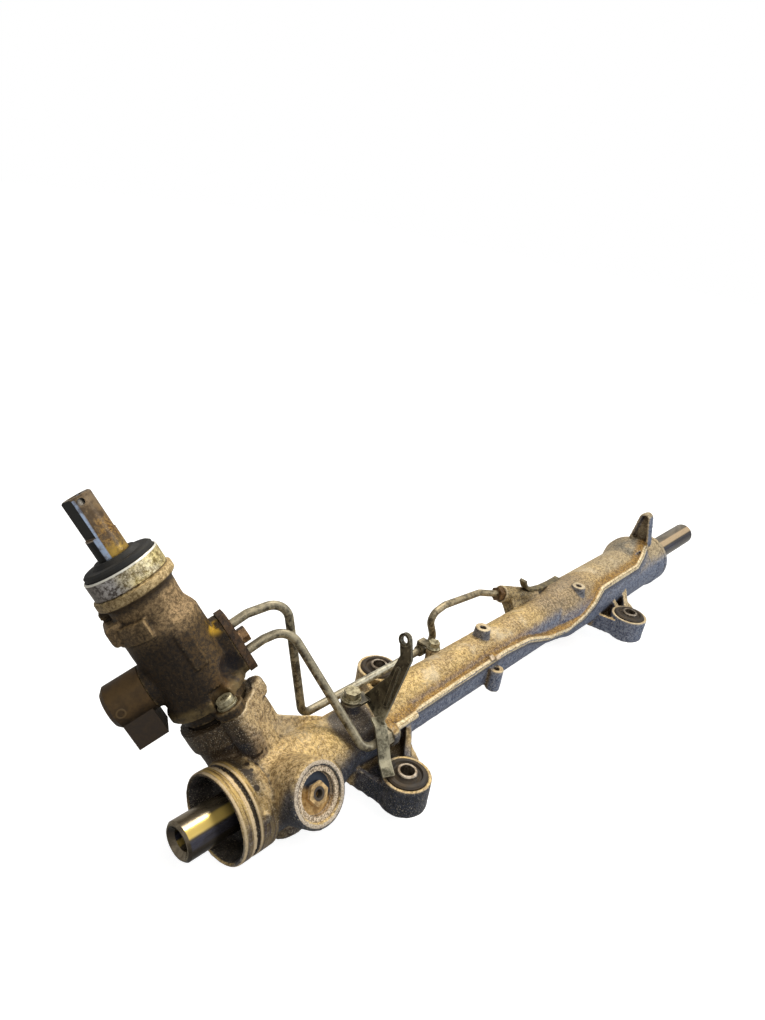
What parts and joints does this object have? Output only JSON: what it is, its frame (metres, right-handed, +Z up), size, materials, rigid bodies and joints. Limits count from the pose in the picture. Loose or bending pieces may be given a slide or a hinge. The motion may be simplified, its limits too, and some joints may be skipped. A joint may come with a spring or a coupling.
{
  "type": "steering rack",
  "caption": "Hydraulic power steering rack: cast housing with rubber-bushed mounting ears, angled pinion tower and rotary valve, steel transfer pipes and a sliding toothed bar.",
  "frame": {"origin": "centre of the near end face of the rack bar, the end beside the pinion", "axes": "+X along the bar to its far end, +Z up along the mounting bolts, +Y towards the single rear ear"},
  "size_m": [0.7652, 0.1904, 0.2199],
  "materials": {
    "cast_aluminium": "as cast, dirty",
    "dark_casting": "as cast, dark and oily",
    "polished_steel": "ground and polished",
    "machined_steel": "machined",
    "plated_steel": "zinc plated, dull",
    "pipe_steel": "drawn tube, weathered",
    "black_rubber": "matt",
    "brown_rubber": "matt, dusty",
    "black_steel": "satin, worn",
    "bronze": "machined",
    "slide_plastic": "matt",
    "connector_plastic": "matt",
    "can_paint": "satin, dirty"
  },
  "bodies": {
    "housing": {"inner_bar_seal": "black_rubber", "outer_bar_seal": "black_rubber", "cylinder_gland": "machined_steel", "gland_ring": "machined_steel", "end_bush": "bronze", "end_bush_ring": "machined_steel", "rack_housing": "cast_aluminium", "near_ear": "cast_aluminium", "far_ear": "cast_aluminium", "rear_ear": "cast_aluminium", "cast_posts": "cast_aluminium", "valve_housing": "dark_casting", "assist_solenoid": "can_paint", "solenoid_connector": "connector_plastic", "lower_bearing_outer_race": "machined_steel", "lower_bearing_balls": "machined_steel", "lower_cap": "dark_casting", "pinion_bush": "bronze", "pinion_seal": "black_rubber", "upper_bearing": "machined_steel", "upper_seal": "black_rubber", "upper_snap_ring": "machined_steel", "spigot_ring": "black_rubber", "dust_disc": "black_rubber", "cover_ring": "plated_steel", "valve_housing_screws": "plated_steel", "support_yoke": "cast_aluminium", "yoke_liner": "slide_plastic", "yoke_ring": "black_rubber", "yoke_spring": "machined_steel", "yoke_plug": "cast_aluminium", "rear_bush_rubber": "brown_rubber", "rear_bush_sleeve": "plated_steel", "near_bush_rubber": "brown_rubber", "near_bush_sleeve": "plated_steel", "far_bush_rubber": "brown_rubber", "far_bush_sleeve": "plated_steel", "pipe_1": "pipe_steel", "pipe_2": "pipe_steel", "pipe_1_nut": "pipe_steel", "pipe_2_nut": "pipe_steel", "pipe_plate": "pipe_steel", "plate_bolt": "plated_steel", "bracket": "black_steel", "bracket_bolt": "plated_steel", "pipe_clip": "pipe_steel", "clip_bolt": "plated_steel"},
    "rack": {"rack_bar": "polished_steel", "piston": "machined_steel", "piston_ring": "slide_plastic"},
    "pinion": {"pinion": "machined_steel", "valve_sleeve": "machined_steel", "sleeve_rings": "slide_plastic", "lower_bearing_inner_race": "machined_steel", "pinion_nut": "machined_steel"},
    "input_shaft": {"input_shaft": "polished_steel", "torsion_bar": "machined_steel", "torsion_bar_pin": "machined_steel"}
  },
  "joints": [
    {"name": "rack_slide", "type": "slide", "parent": "housing", "child": "rack", "axis": [1, 0, 0], "range_m": [-0.12, 0.024]},
    {"name": "pinion_turn", "type": "hinge", "parent": "housing", "child": "pinion", "pos_m": [0.0754, 0.01353, -0.00797], "axis": [-0.3338, 0.4784, 0.8122], "range_deg": [-811, 163]},
    {"name": "input_twist", "type": "hinge", "parent": "pinion", "child": "input_shaft", "pos_m": [0.0754, 0.01353, -0.00797], "axis": [-0.3338, 0.4784, 0.8122], "range_deg": [-4.5, 4.5], "stiffness_Nm_per_rad": 114.6}
  ],
  "couplings": [
    {"joint": "pinion_turn", "follows": "rack_slide", "rad_per_m": 117.83}
  ]
}
